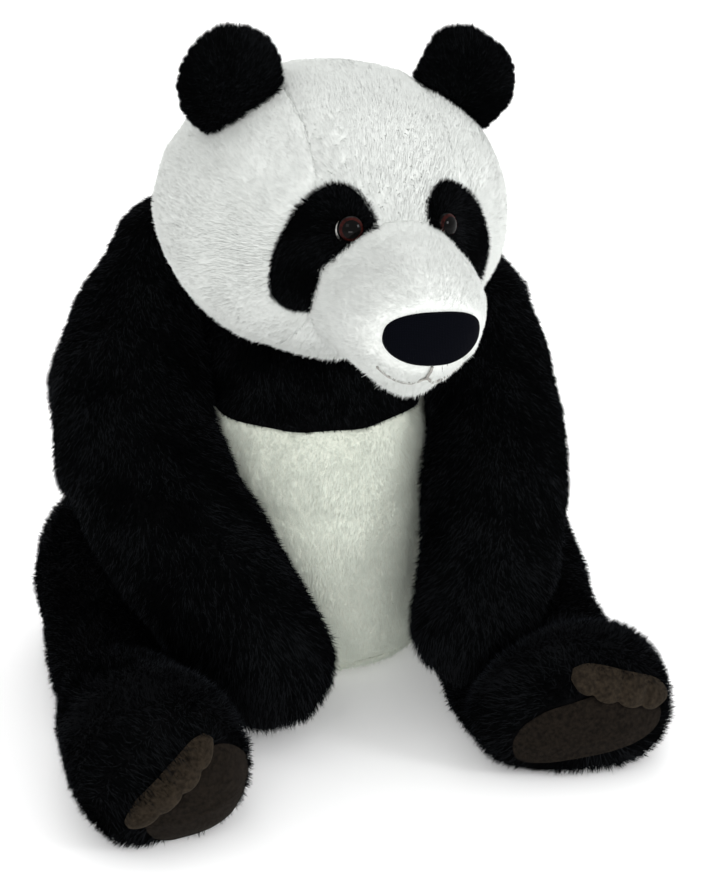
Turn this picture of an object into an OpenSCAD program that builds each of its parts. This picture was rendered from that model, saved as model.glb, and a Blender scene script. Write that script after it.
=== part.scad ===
// Sitting plush panda, jointed at the neck, shoulders and hips.
// +Z up. The panda faces -Y, so its right side is -X. The origin is on the floor under its middle.
// Places are written as [sideways, forward, up], with forward measured from the crotch.

/* [Whole toy] */
// Distance from the crotch forward to the middle of the toy's depth
mid_depth = 31.5; // [28:0.5:36]
// Thickness of the plush skins
skin = 5; // [4:0.5:6]
// Gap between pieces that move past each other
joint_gap = 0.4; // [0.3:0.1:0.8]

/* [Trunk] */
// Half-width of the trunk between the limbs
trunk_half_width = 66; // [62:1:68]
// Half-width that the trunk's round section would have without its flat sides
trunk_side = 92; // [88:1:96]
// Half-depth of the belly
belly_depth = 100; // [95:1:102]
// How far the trunk's middle is behind the crotch
trunk_back = 50; // [46:1:54]
// Forward lean of the neck, in degrees
neck_lean = 35; // [30:1:40]

/* [Head] */
// Half-width of the head
head_side = 102; // [96:1:104]
// Half-depth of the head
head_depth = 94; // [90:1:98]
// Half-height of the head
head_height = 83; // [79:1:86]
// How far the head is turned to the panda's left, in degrees
head_turn = 12; // [0:1:15]
// How far the head is tipped to the panda's left, in degrees
head_tip = 6; // [0:1:8]
// Radius of each ear
ear_r = 29; // [26:1:31]
// Radius of the muzzle at its widest
muzzle_r = 42; // [38:1:44]
// Diameter of the safety eyes
eye_d = 18; // [16:1:20]

/* [Joints] */
// Radius of the neck discs
neck_disc_r = 30; // [24:1:31]
// Radius of the shoulder discs
shoulder_disc_r = 22; // [18:1:23]
// Radius of the hip discs
hip_disc_r = 27; // [22:1:29]
// Thickness of the joint discs
disc_t = 3; // [2:0.5:4]
// Radius of the joint bolts
bolt_r = 4; // [3:0.5:5]

/* [Hidden] */

$fn = 48;
sides = 24;                       // points round each ring
under_gap = 0.3;                  // gap between a skin and what lies under it
fill_gap = 1.6;                   // gap between a skin and its stuffing
running = 0.05;                   // radial clearance of a bolt in its limb's disc
washer_t = 1.5;
washer_r = 9;
nut_t = 4;
nut_r = 7;
side_plane = trunk_half_width + joint_gap;
black = [0.06, 0.06, 0.07];
white = [0.93, 0.94, 0.92];
cream = [0.82, 0.84, 0.78];
suede = [0.25, 0.20, 0.16];
light_suede = [0.42, 0.34, 0.27];
filling = [0.96, 0.95, 0.90];
board = [0.62, 0.47, 0.30];
steel = [0.70, 0.71, 0.73];

// Joint centres, as [sideways, forward, up] on the panda's left
shoulder = [side_plane, -45, 203];
hip = [side_plane, -30, 54];
head_centre = [3, 30, 302];
neck_reach = 87;                  // head's centre to the neck plane
neck_dir = [0, sin(neck_lean), cos(neck_lean)];
neck = [0, head_centre[1], head_centre[2]] - neck_reach * neck_dir;

// ---------- shared geometry ----------

// A place given as sideways, forward and up, in the row's frame
function at(p) = [p[0], mid_depth - p[1], p[2]];

function unit(v) = v / norm(v);

// Ellipse ring round centre c with half-axes u and v, as vectors
function ring(c, u, v, n = sides) = [for (i = [0:n - 1]) c + u * cos(360 * i / n) + v * sin(360 * i / n)];

function reversed(list) = [for (i = [len(list) - 1:-1:0]) list[i]];

function mean(points) = [for (k = [0:2]) [for (p = points) p[k]] * [for (p = points) 1] / len(points)];

// Solid through a row of rings, closed at both ends. A row that runs out over an outer face and
// back over an inner face makes a cup.
module loft(rings) {
  n = len(rings[0]);
  m = len(rings);
  points = concat([for (r = rings) each r], [mean(rings[0]), mean(rings[m - 1])]);
  walls = [
    for (k = [0:m - 2]) for (i = [0:n - 1])
      let (a = k * n + i, b = a + n, c = (k + 1) * n + (i + 1) % n, d = k * n + (i + 1) % n)
      each [[a, b, c], [a, c, d]]
  ];
  ends = [
    for (i = [0:n - 1])
      each [[m * n, i, (i + 1) % n], [m * n + 1, (m - 1) * n + (i + 1) % n, (m - 1) * n + i]]
  ];
  polyhedron(points = points, faces = concat(walls, ends));
}

// Solid between two matching grids of points, an outer and an inner face.
// With wrap, each row of the grids closes into a ring.
module slab(outer, inner, wrap = false) {
  rows = len(outer);
  cols = len(outer[0]);
  under = rows * cols;
  last = wrap ? cols - 1 : cols - 2;
  skins = [
    for (k = [0:rows - 2]) for (i = [0:last])
      let (a = k * cols + i, b = a + cols, d = k * cols + (i + 1) % cols, c = d + cols)
      each [[a, b, c], [a, c, d], [a + under, c + under, b + under], [a + under, d + under, c + under]]
  ];
  low_and_high = [
    for (i = [0:last])
      let (a = i, d = (i + 1) % cols, b = (rows - 1) * cols + i, c = (rows - 1) * cols + (i + 1) % cols)
      each [[a, d, d + under], [a, d + under, a + under], [c, b, b + under], [c, b + under, c + under]]
  ];
  flanks = wrap ? [] : [
    for (k = [0:rows - 2])
      let (a = k * cols, b = a + cols, d = k * cols + cols - 1, c = d + cols)
      each [[b, a, a + under], [b, a + under, b + under], [d, c, c + under], [d, c + under, d + under]]
  ];
  polyhedron(
    points = concat([for (r = outer) each r], [for (r = inner) each r]),
    faces = concat(skins, low_and_high, flanks)
  );
}

// Washer, disc or bolt along +X from x = from, round the point [., forward, up] of p
module along_x(p, from, length, r, bore = 0) {
  translate([from, mid_depth - p[1], p[2]]) rotate([0, 90, 0]) difference() {
    cylinder(r = r, h = length);
    if (bore > 0) translate([0, 0, -1]) cylinder(r = bore, h = length + 2);
  }
}

// Children placed along the neck's axis, with z = 0 on the neck plane
module on_neck() {
  translate(at(neck)) rotate([neck_lean, 0, 0]) children();
}

module mirrored_if(right) {
  if (right) mirror([1, 0, 0]) children();
  else children();
}

// ---------- trunk ----------

// Trunk rings: forward, up, forward lean, half-width, half-depth
TRUNK = [
  [-trunk_back, 0, 0, 60, 62],
  [-trunk_back, 2.5, 0, 74, 77],
  [-trunk_back, 10, 0, 84, 88],
  [-trunk_back, 34, 0, 90, 97],
  [-trunk_back, 76, 1, trunk_side, belly_depth],
  [-trunk_back, 118, 3, 91, 98],
  [-trunk_back, 156, 6, 89, 94],
  [-trunk_back, 183, 11, 87, 89],
  [-46, 208, 20, 83, 79],
  [-36, 224, 29, 76, 69],
  [neck[1] - 5, neck[2] - 4, neck_lean, 68, 60],
  [neck[1], neck[2], neck_lean, 58, 50]
];
yoke_row = 7;                     // the yoke is sewn to the belly and back along this ring
seat_row = 2;                     // the seat panel ends at this ring
bag_top = 32;                     // height of the pellet bag's top

function trunk_ring(k, inset) =
  let (
    s = TRUNK[k],
    lift = (k < seat_row ? inset * (seat_row - k) / seat_row : 0) - (k > 9 ? inset * (k - 9) / 2 : 0),
    c = at([0, s[0], s[1]]) + [0, -sin(s[2]), cos(s[2])] * (lift - (k > 9 ? joint_gap : 0)),
    r = ring(c, [s[3] - inset, 0, 0], [0, cos(s[2]), sin(s[2])] * (s[4] - inset))
  )
  [for (p = r) [max(-trunk_half_width + inset, min(trunk_half_width - inset, p[0])), p[1], p[2]]];

function trunk_rows(first, last, inset) = [for (k = [first:last]) trunk_ring(k, inset)];

// Part of each ring, from point i to point j
function arc(rows, i, j) = [for (r = rows) [for (q = [i:j]) r[q % sides]]];

module trunk_panel(first, last, i, j) {
  slab(arc(trunk_rows(first, last, 0), i, j), arc(trunk_rows(first, last, skin), i, j));
}

module bolt_holes(p, r) {
  for (x = [-trunk_half_width - 10, trunk_half_width - 15]) along_x(p, x, 25, r);
}

module chest_yoke() {
  color(black) difference() {
    loft_open(yoke_row, len(TRUNK) - 1);
    bolt_holes(shoulder, bolt_r + 1);
    on_neck() translate([0, 0, -20]) cylinder(r = bolt_r + 1, h = 30);
  }
}

// Trunk skin from ring first to the top, where it closes over the neck disc
module loft_open(first, last) {
  loft(concat(reversed(trunk_rows(first, last, skin)), trunk_rows(first, last, 0)));
}

// Cup whose closed end is the first ring of both lists
module loft_cup(outer, inner) {
  loft(concat(outer, reversed(inner)));
}

module belly_panel() {
  color(cream) difference() {
    trunk_panel(seat_row, yoke_row, sides / 2, sides);
    bolt_holes(hip, bolt_r + 1);
  }
}

module back_panel() {
  color(white) trunk_panel(seat_row, yoke_row, 0, sides / 2);
}

module seat_panel() {
  color(cream) loft_cup(trunk_rows(0, seat_row, 0), trunk_rows(0, seat_row, skin));
}

module tail() {
  tail_r = 17;
  tail_depth = 9;
  color(white) translate(at([0, -trunk_back - belly_depth - tail_depth - under_gap, 60])) loft([
    for (f = [-80:20:80]) ring([0, tail_depth * sin(f), 0], [0, 0, tail_r * cos(f)], [tail_r * cos(f), 0, 0])
  ]);
}

disc_side_room = 14;              // depth inside the trunk's sides left free for the joint discs
neck_disc_room = 12;              // depth under the trunk's top left free for the neck disc

module torso_stuffing() {
  inset = skin + 2 * fill_gap;
  reach = trunk_half_width - inset - disc_side_room;
  rows = [
    for (k = [3:len(TRUNK) - 1])
      [for (p = trunk_ring(k, inset)) [max(-reach, min(reach, p[0])), p[1], p[2]]]
  ];
  color(filling) difference() {
    loft(rows);
    on_neck() translate([0, 0, -skin - neck_disc_room]) cylinder(r = neck_disc_r + 1, h = 40);
  }
}

module pellet_bag() {
  inset = skin + under_gap;
  floor_z = skin + 1;
  half_width = trunk_half_width - inset - disc_side_room;
  half_depth = TRUNK[1][4] - inset;
  // Share of the way up, and share of the full width there
  steps = [[0, 0.86], [0.35, 0.97], [1, 1]];
  color([0.75, 0.74, 0.70]) loft([
    for (s = steps)
      let (c = at([0, -trunk_back, floor_z + s[0] * (bag_top - floor_z)]))
      ring(c, [half_width * s[1], 0, 0], [0, half_depth * s[1], 0])
  ]);
}

// ---------- joint hardware ----------

module side_disc_body(p, r) {
  color(board) along_x(p, trunk_half_width - skin - disc_t, disc_t, r, bolt_r + running);
}

module side_disc_limb(p, r) {
  color(board) along_x(p, side_plane + skin, disc_t, r, bolt_r + running);
}

module side_bolt(p) {
  inner = trunk_half_width - skin - disc_t - washer_t - nut_t;
  outer = side_plane + skin + disc_t + joint_gap + washer_t;
  color(steel) {
    along_x(p, inner - 1, outer - inner + 2, bolt_r);
    along_x(p, inner, nut_t, nut_r);
    along_x(p, outer, nut_t, nut_r);
  }
}

module side_washers(p) {
  color(steel) {
    along_x(p, trunk_half_width - skin - disc_t - washer_t, washer_t, washer_r, bolt_r + running);
    along_x(p, side_plane + skin + disc_t + joint_gap, washer_t, washer_r, bolt_r + running);
  }
}

module shoulder_disc_body(s) {
  mirrored_if(s < 0) side_disc_body(shoulder, shoulder_disc_r);
}

module shoulder_disc_arm(s) {
  mirrored_if(s < 0) side_disc_limb(shoulder, shoulder_disc_r);
}

module shoulder_bolt(s) {
  mirrored_if(s < 0) side_bolt(shoulder);
}

module shoulder_washers(s) {
  mirrored_if(s < 0) side_washers(shoulder);
}

module hip_disc_body(s) {
  mirrored_if(s < 0) side_disc_body(hip, hip_disc_r);
}

module hip_disc_leg(s) {
  mirrored_if(s < 0) side_disc_limb(hip, hip_disc_r);
}

module hip_bolt(s) {
  mirrored_if(s < 0) side_bolt(hip);
}

module hip_washers(s) {
  mirrored_if(s < 0) side_washers(hip);
}

module neck_disc_body() {
  color(board) on_neck() translate([0, 0, -joint_gap - skin - disc_t - 0.2]) ring_disc(neck_disc_r, disc_t);
}

module neck_disc_head() {
  color(board) on_neck() ring_disc(neck_disc_r, disc_t);
}

module ring_disc(r, t) {
  difference() {
    cylinder(r = r, h = t);
    translate([0, 0, -1]) cylinder(r = bolt_r + running, h = t + 2);
  }
}

neck_low = -joint_gap - skin - disc_t - 0.2 - washer_t;
neck_high = disc_t + joint_gap;

module neck_bolt() {
  color(steel) on_neck() {
    translate([0, 0, neck_low - nut_t - 1])
      cylinder(r = bolt_r, h = neck_high + washer_t + 2 * nut_t + 1 - neck_low);
    translate([0, 0, neck_low - nut_t]) cylinder(r = nut_r, h = nut_t);
    translate([0, 0, neck_high + washer_t]) cylinder(r = nut_r, h = nut_t);
  }
}

module neck_washers() {
  color(steel) on_neck() for (z = [neck_low, neck_high]) translate([0, 0, z]) ring_disc(washer_r, washer_t);
}

// ---------- head ----------

// Head's own frame: x to the panda's left, y backwards, z up, from the head's centre
module on_head() {
  translate(at(head_centre)) rotate([0, head_tip, head_turn]) children();
}

// Point of the head's egg shape at latitude t off the middle plane and angle p round its side axis,
// where 0 is straight ahead and 90 straight up
function egg(t, p, inset) = [
  (head_side - inset) * sin(t),
  -(head_depth - inset) * cos(t) * cos(p),
  (head_height - inset) * cos(t) * sin(p)
];

// Point of the head's face at sideways x and height z, raised off the surface
function face_at(x, z, lift) =
  let (a = head_side + lift, b = head_depth + lift, c = head_height + lift)
  [x, -b * sqrt(max(0, 1 - pow(x / a, 2) - pow(z / c, 2))), z];

gusset_edge = 24;                 // latitude of the seams between the gusset and the head's sides
gusset_cols = 6;

module head_strip(from, to, step) {
  lats = [for (q = [0:gusset_cols]) gusset_edge * (2 * q / gusset_cols - 1)];
  slab(
    [for (p = [from:step:to]) [for (t = lats) egg(t, p, 0)]],
    [for (p = [from:step:to]) [for (t = lats) egg(t, p, skin)]]
  );
}

// Room for the neck disc, which the head's cloth is gathered round
module disc_room() {
  on_neck() translate([0, 0, -2]) cylinder(r = neck_disc_r + under_gap, h = disc_t + 2 + under_gap);
}

module crown_gusset() {
  color(white) difference() {
    on_head() head_strip(-14, 211, 7.5);
    for (s = [-1, 1]) at_eye(s) eye_hole();
    disc_room();
  }
}

module throat_panel() {
  color(white) difference() {
    on_head() head_strip(262, 328, 8.25);
    disc_room();
  }
}

module head_side(s) {
  // A small step off the seam keeps the side clear of the gusset
  lats = [84, 72, 60, 48, 36, gusset_edge + 0.3];
  outer = [for (t = lats) [for (i = [0:sides - 1]) egg(t, 15 * i, 0)]];
  inner = [for (t = lats) [for (i = [0:sides - 1]) egg(t, 15 * i, skin)]];
  color(white) difference() {
    on_head() mirrored_if(s < 0) loft_cup(outer, inner);
    disc_room();
  }
}

muzzle_up = -23;                  // muzzle's axis below the head's centre
// Muzzle rings: distance ahead of the head's centre, radius across, radius up and down
MUZZLE = [
  [104, 0.99, 0.97],
  [120, 0.98, 0.97],
  [134, 0.9, 0.9],
  [144, 0.72, 0.74],
  [150, 0.48, 0.5],
  [152.5, 0.2, 0.22]
];

function muzzle_ring(s, inset) = ring([0, -s[0] + inset * pow(1 - s[1], 0.5), muzzle_up],
  [0, 0, (muzzle_r - inset) * s[2]], [(muzzle_r - inset) * s[1], 0, 0]);

function muzzle_root(inset) = [
  for (i = [0:sides - 1])
    let (r = muzzle_r - inset, a = 360 * i / sides)
    face_at(r * sin(a), muzzle_up + r * cos(a), under_gap)
];

function muzzle_rows(inset) = concat([muzzle_root(inset)], [for (s = MUZZLE) muzzle_ring(s, inset)]);

module muzzle_cover() {
  color(white) on_head() loft_cup(reversed(muzzle_rows(0)), reversed(muzzle_rows(skin)));
}

// The muzzle as one solid, raised by lift, which cuts room for the pieces round it
module muzzle_solid(lift) {
  loft(reversed(muzzle_rows(-lift)));
}

module head_stuffing() {
  inset = skin + under_gap;
  color(filling) difference() {
    on_head() loft([for (t = [-84:12:84]) [for (i = [0:sides - 1]) egg(t, -15 * i, inset)]]);
    on_neck() translate([0, 0, -30]) cylinder(r = 75, h = 30 + neck_high + washer_t + 2 * nut_t);
    for (s = [-1, 1]) at_eye(s) translate([0, 0, -16]) cylinder(r = eye_washer_r + 1, h = 30);
  }
}

// The whole head's outer shape, raised by lift
module head_egg(lift) {
  on_head() loft([for (t = [-84:12:84]) [for (i = [0:sides - 1]) egg(t, -15 * i, -lift)]]);
}

// Ear: a thick rounded shell that stands on the head
module ear(s) {
  lean = 28;
  color(black) difference() {
    on_head() mirrored_if(s < 0) translate([68, -8, 68]) rotate([0, lean, 0]) loft([
      for (q = [[-8, 0.72], [4, 0.93], [15, 1], [26, 0.9], [34, 0.68], [39, 0.35]])
        ring([0, 0, q[0] - 6], [ear_r * q[1], 0, 0], [0, 12 * sqrt(q[1]), 0])
    ]);
    head_egg(under_gap);
  }
}

// Eye patch: slanted egg round the eye, whose lower inner side the muzzle covers
patch_mid = [40, 1];
patch_long = 38.5;
patch_wide = 22.5;
patch_slant = 20;
function patch_edge(i) =
  let (
    a = 360 * i / sides,
    up = patch_long * cos(a),
    out = patch_wide * sin(a),
    c = cos(patch_slant),
    k = sin(patch_slant)
  )
  patch_mid + [out * c - up * k, up * c + out * k];

module eye_patch(s) {
  function row(k, lift) = [
    for (i = [0:sides - 1]) let (e = patch_mid + (patch_edge(i) - patch_mid) * k) face_at(e[0], e[1], lift)
  ];
  steps = [0.15, 0.45, 0.75, 1];
  color(black) difference() {
    on_head() mirrored_if(s < 0) loft_cup([for (k = steps) row(k, 2.3)], [for (k = steps) row(k, under_gap)]);
    on_head() muzzle_solid(under_gap);
    at_eye(s) eye_hole();
  }
}

shank_r = 2.5;
eye_washer_r = 8;
eye_at = [29, 17];
eye_seat = face_at(eye_at[0], eye_at[1], 3);

// Children placed at the eye, whose z looks ahead, a little upwards and outwards
module at_eye(s) {
  on_head() mirrored_if(s < 0) translate(eye_seat) rotate([81, 0, 15]) children();
}

module eye_hole() {
  translate([0, 0, -20]) cylinder(r = shank_r + running, h = 30);
}

module eye_lens(s) {
  color([0.05, 0.03, 0.03]) at_eye(s) intersection() {
    translate([0, 0, -2]) sphere(r = eye_d / 2);
    translate([0, 0, 1.2]) cylinder(r = eye_d, h = eye_d);
  }
}

module eye_iris(s) {
  color([0.30, 0.12, 0.07]) at_eye(s) cylinder(r = eye_d / 2 - 0.6, h = 1);
}

module eye_washer(s) {
  shank = 15;
  color([0.9, 0.9, 0.88]) at_eye(s) {
    translate([0, 0, -shank]) cylinder(r = shank_r, h = shank);
    translate([0, 0, -shank + 1.5]) cylinder(r = eye_washer_r, h = 1.5);
  }
}

// Nose: flat broad pad on the tip of the muzzle
nose_half = [28, 15];
module nose_pad() {
  nose_up = muzzle_up - 4;
  tip = 154;
  function row(k, lift) = [
    for (i = [0:sides - 1])
      let (x = nose_half[0] * k * sin(15 * i), z = nose_half[1] * k * cos(15 * i))
      [x, -tip - lift + 0.012 * x * x + 0.01 * z * z - 0.12 * z, nose_up + z]
  ];
  steps = [0.2, 0.6, 0.9, 1];
  color([0.09, 0.09, 0.15]) on_head() difference() {
    loft_cup([for (k = steps) row(k, 4 - 3 * k * k)], [for (k = steps) row(k, -3)]);
    muzzle_solid(under_gap);
  }
}

module mouth_stitching() {
  thread = 0.8;
  mouth = [[-22, 130, -58], [-12, 135, -62], [0, 138, -63.5], [12, 135, -62], [22, 130, -58]];
  color(black) on_head() {
    loft([for (p = mouth) ring([p[0], -p[1], p[2]], [0, 0, -thread], [0, thread, 0], 8)]);
  }
}

// ---------- limbs ----------

belly_room = 8.5;                  // how far a limb keeps off the belly's curve

// Half-width of the trunk at a distance forward, which a limb keeps outside
function beside_trunk(f) =
  let (q = (f + trunk_back) / (belly_depth + belly_room))
  abs(q) >= 1 ? -200 : min(side_plane, (trunk_side + belly_room) * sqrt(1 - q * q));

// Limb point kept off the trunk's side and the floor
function kept(p, inset, side_room) =
  [max(p[0], beside_trunk(mid_depth - p[1]) + inset + side_room), p[1], max(p[2], inset)];

// Half-axis share that squares off the lower half of a limb where it rests
function squared(share, up) = up < -0.01 ? sign(share) * pow(abs(share), 0.8) : share;

hollow_at = 135;                  // angle round a limb of the hollow's middle
hollow_spread = 42;               // angle over which the hollow fades

// Ring of a limb at centre c, across direction t, with a hollow pressed into its upper inner side
function limb_ring(c, t, a, b, hollow, inset, side_room) =
  let (u = unit([1, 0, 0] - t * t[0]), v = cross(t, u))
  [
    for (i = [0:sides - 1])
      let (
        ang = 360 * i / sides,
        s = 1 - hollow * exp(-pow((ang - hollow_at) / hollow_spread, 2)),
        across = u * a * squared(cos(ang), sin(ang)),
        up = v * b * squared(sin(ang), sin(ang))
      )
      kept(c + (across + up) * s, inset, side_room)
  ];

// Rings of a whole limb: stations are sideways, forward, up, half-width, half-thickness, hollow
function limb_rings(st, start_len, end_len, inset, side_room = 0) =
  let (
    n = len(st),
    c = [for (s = st) at([s[0], s[1], s[2]])],
    t = [for (k = [0:n - 1]) unit(c[min(k + 1, n - 1)] - c[max(k - 1, 0)])]
  )
  concat(
    [for (f = [78, 52, 26])
      limb_ring(c[0] - t[0] * (start_len - inset) * sin(f), t[0],
        (st[0][3] - inset) * cos(f), (st[0][4] - inset) * cos(f), st[0][5], inset, side_room)],
    [for (k = [0:n - 1])
      limb_ring(c[k], t[k], st[k][3] - inset, st[k][4] - inset, st[k][5], inset, side_room)],
    [for (f = [26, 52, 78])
      limb_ring(c[n - 1] + t[n - 1] * (end_len - inset) * sin(f), t[n - 1],
        (st[n - 1][3] - inset) * cos(f), (st[n - 1][4] - inset) * cos(f), st[n - 1][5], inset, side_room)]
  );

// Arm stations from the top of the shoulder to the hand
ARM_RIGHT = [
  [86, -52, 245, 30, 38, 0],
  [97, -45, 213, 41, 48, 0],
  [107, -22, 181, 49, 49, 0],
  [109, 12, 151, 48, 43, 0],
  [95, 49, 121, 46, 39, 0],
  [72, 80, 86, 42, 37, 0],
  [48, 96, 49, 37, 34, 0]
];
ARM_LEFT = [
  [83, -55, 238, 27, 34, 0],
  [94, -46, 211, 38, 46, 0],
  [98, -22, 181, 45, 48, 0],
  [100, 14, 150, 44, 45, 0],
  [97, 48, 120, 42, 42, 0],
  [88, 79, 93, 38, 34, 0],
  [72, 103, 69, 33, 29, 0]
];
arm_top = 42;                     // length of the shoulder's dome
hand_tip = 34;                    // length of the hand's dome

// Leg stations from the haunch to the foot
LEG_RIGHT = [
  [106, -62, 52, 56, 53, 0],
  [106, -30, 53, 63, 55, 0],
  [112, 8, 46, 57, 46, 0],
  [123, 44, 35, 47, 36, 0.3],
  [130, 86, 31, 37, 33, 0.3],
  [130, 130, 37, 42, 38, 0.15],
  [127, 168, 42, 46.5, 42, 0],
  [123, 198, 41, 46, 42, 0]
];
LEG_LEFT = [
  [102, -62, 52, 54, 53, 0],
  [102, -30, 53, 60, 55, 0],
  [108, 2, 46, 54, 47, 0],
  [113, 42, 31, 51, 32, 0.38],
  [111, 78, 27, 57, 27, 0.55],
  [113, 112, 30, 58, 32, 0.55],
  [118, 143, 38, 56, 40, 0.2],
  [117, 160, 40, 56.5, 41, 0.05]
];
haunch_back = 38;                 // length of the haunch's dome
foot_front = 26;                  // length of the foot's dome

function leg_stations(s) = s < 0 ? LEG_RIGHT : LEG_LEFT;
function arm_stations(s) = s < 0 ? ARM_RIGHT : ARM_LEFT;
stuffing_room = disc_t + washer_t + nut_t + 2.5;

module arm_cover(s) {
  color(black) mirrored_if(s < 0) difference() {
    loft(limb_rings(arm_stations(s), arm_top, hand_tip, 0));
    loft(limb_rings(arm_stations(s), arm_top, hand_tip, skin));
    along_x(shoulder, side_plane - 5, 15, bolt_r + 1);
  }
}

module arm_stuffing(s) {
  color(filling) mirrored_if(s < 0)
    loft(limb_rings(arm_stations(s), arm_top, hand_tip, skin + fill_gap, stuffing_room));
}

module leg_cover(s) {
  color(black) mirrored_if(s < 0) difference() {
    loft(limb_rings(leg_stations(s), haunch_back, foot_front, 0));
    loft(limb_rings(leg_stations(s), haunch_back, foot_front, skin));
    along_x(hip, side_plane - 5, 15, bolt_r + 1);
  }
}

module leg_stuffing(s) {
  color(filling) mirrored_if(s < 0)
    loft(limb_rings(leg_stations(s), haunch_back, foot_front, skin + fill_gap, stuffing_room));
}

// Point on the dome of the foot: p is [across, along] in mm, and +along lies turn degrees up from sideways
function foot_face(st, turn, p, lift) =
  let (
    n = len(st) - 1,
    c = at([st[n][0], st[n][1], st[n][2]]),
    t = unit(c - at([st[n - 1][0], st[n - 1][1], st[n - 1][2]])),
    u = unit([1, 0, 0] - t * t[0]),
    v = cross(t, u),
    q = [(p[1] * cos(turn) + p[0] * sin(turn)) / st[n][3],
      (p[1] * sin(turn) - p[0] * cos(turn)) / st[n][4]],
    far = norm(q),
    r = far < 0.9 ? far : 0.99 - 0.09 * exp((0.9 - far) / 0.09),
    ang = atan2(q[1], q[0])
  )
  kept(c + u * r * (st[n][3] + lift) * squared(cos(ang), sin(ang))
    + v * r * (st[n][4] + lift) * squared(sin(ang), sin(ang))
    + t * (foot_front + lift) * sqrt(1 - r * r), 0, 0);

function rounded(share) = sign(share) * pow(abs(share), 0.75);

toe_turn_right = 47;              // the right toes point this far up from straight sideways
toe_turn_left = 71;               // and the left toes this far
sole_turn_left = 103;             // the left sole lies this far round
toes = 4;
sole_thick = 3;
pad_gap = 1.4;                    // gap between the foot's plush and the pads sewn on it

// Pad on the foot's face, bounded by a rounded box at middle m with half-sizes h
module sole(st, turn, m, h) {
  function row(k, lift) = [
    for (i = [0:sides - 1])
      let (a = 360 * i / sides)
      foot_face(st, turn, m + k * [h[0] * rounded(sin(a)), h[1] * rounded(cos(a))], lift)
  ];
  loft_cup(
    [row(0.2, sole_thick), row(0.6, sole_thick * 0.95), row(1, sole_thick * 0.7)],
    [row(0.2, pad_gap), row(0.6, pad_gap), row(1, pad_gap)]
  );
}

module sole_pad(s) {
  color(suede) mirrored_if(s < 0)
    if (s < 0) sole(LEG_RIGHT, toe_turn_right, [-5, -18.5], [32, 26]);
    else sole(LEG_LEFT, sole_turn_left, [5, -9], [43, 18]);
}

// One flap with a lobe for each toe, which lies over the sole's upper edge with its tips lifted.
// m is the row's middle, h its half-length and a toe's half-length.
module toe_flap(st, turn, m, h) {
  cols = 6 * toes;
  function lobe(i) = pow(abs(sin(180 * toes * i / cols)), 0.6);
  // The row narrows to round ends
  function span(i) = max(0.35, sqrt(1 - pow(2 * i / cols - 1, 4)));
  // Share of the way from a toe's tip to its root, height of its upper side and of its under side
  steps = [
    [-1, 5, 4.4],
    [-0.8, 6.6, 4.4],
    [-0.3, 7.6, 4.3],
    [0.1, 7.4, 4.1],
    [0.6, 6.4, 3.8],
    [1, 4.6, 3.5]
  ];
  function place(i, step) = [
    m[0] + h[0] * (2 * i / cols - 1),
    m[1] + h[1] * step[0] * span(i) * (step[0] < 0 ? 0.72 + 0.28 * lobe(i) : 1)
  ];
  function top(i, step) = step[2] + (step[1] - step[2]) * (0.45 + 0.55 * lobe(i));
  slab(
    [for (q = steps) [for (i = [0:cols]) foot_face(st, turn, place(i, q), top(i, q))]],
    [for (q = steps) [for (i = [0:cols]) foot_face(st, turn, place(i, q), q[2])]]
  );
}

module toe_pads(s) {
  color(light_suede) mirrored_if(s < 0)
    if (s < 0) toe_flap(LEG_RIGHT, toe_turn_right, [-2, 6], [29, 9]);
    else toe_flap(LEG_LEFT, toe_turn_left, [17, 20], [28, 9]);
}

chest_yoke();
belly_panel();
back_panel();
seat_panel();
tail();
torso_stuffing();
pellet_bag();
neck_disc_body();
neck_disc_head();
neck_bolt();
neck_washers();
shoulder_disc_body(-1);  // shoulder_disc_body_right
shoulder_disc_body(1);  // shoulder_disc_body_left
shoulder_disc_arm(-1);  // shoulder_disc_arm_right
shoulder_disc_arm(1);  // shoulder_disc_arm_left
shoulder_bolt(-1);  // shoulder_bolt_right
shoulder_bolt(1);  // shoulder_bolt_left
shoulder_washers(-1);  // shoulder_washers_right
shoulder_washers(1);  // shoulder_washers_left
hip_disc_body(-1);  // hip_disc_body_right
hip_disc_body(1);  // hip_disc_body_left
hip_disc_leg(-1);  // hip_disc_leg_right
hip_disc_leg(1);  // hip_disc_leg_left
hip_bolt(-1);  // hip_bolt_right
hip_bolt(1);  // hip_bolt_left
hip_washers(-1);  // hip_washers_right
hip_washers(1);  // hip_washers_left
crown_gusset();
head_side(-1);  // head_side_right
head_side(1);  // head_side_left
throat_panel();
muzzle_cover();
head_stuffing();
ear(-1);  // ear_right
ear(1);  // ear_left
eye_patch(-1);  // eye_patch_right
eye_patch(1);  // eye_patch_left
eye_lens(-1);  // eye_lens_right
eye_lens(1);  // eye_lens_left
eye_iris(-1);  // eye_iris_right
eye_iris(1);  // eye_iris_left
eye_washer(-1);  // eye_washer_right
eye_washer(1);  // eye_washer_left
nose_pad();
mouth_stitching();
arm_cover(-1);  // arm_cover_right
arm_cover(1);  // arm_cover_left
arm_stuffing(-1);  // arm_stuffing_right
arm_stuffing(1);  // arm_stuffing_left
leg_cover(-1);  // leg_cover_right
leg_cover(1);  // leg_cover_left
leg_stuffing(-1);  // leg_stuffing_right
leg_stuffing(1);  // leg_stuffing_left
sole_pad(-1);  // sole_pad_right
sole_pad(1);  // sole_pad_left
toe_pads(-1);  // toe_pads_right
toe_pads(1);  // toe_pads_left
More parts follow.
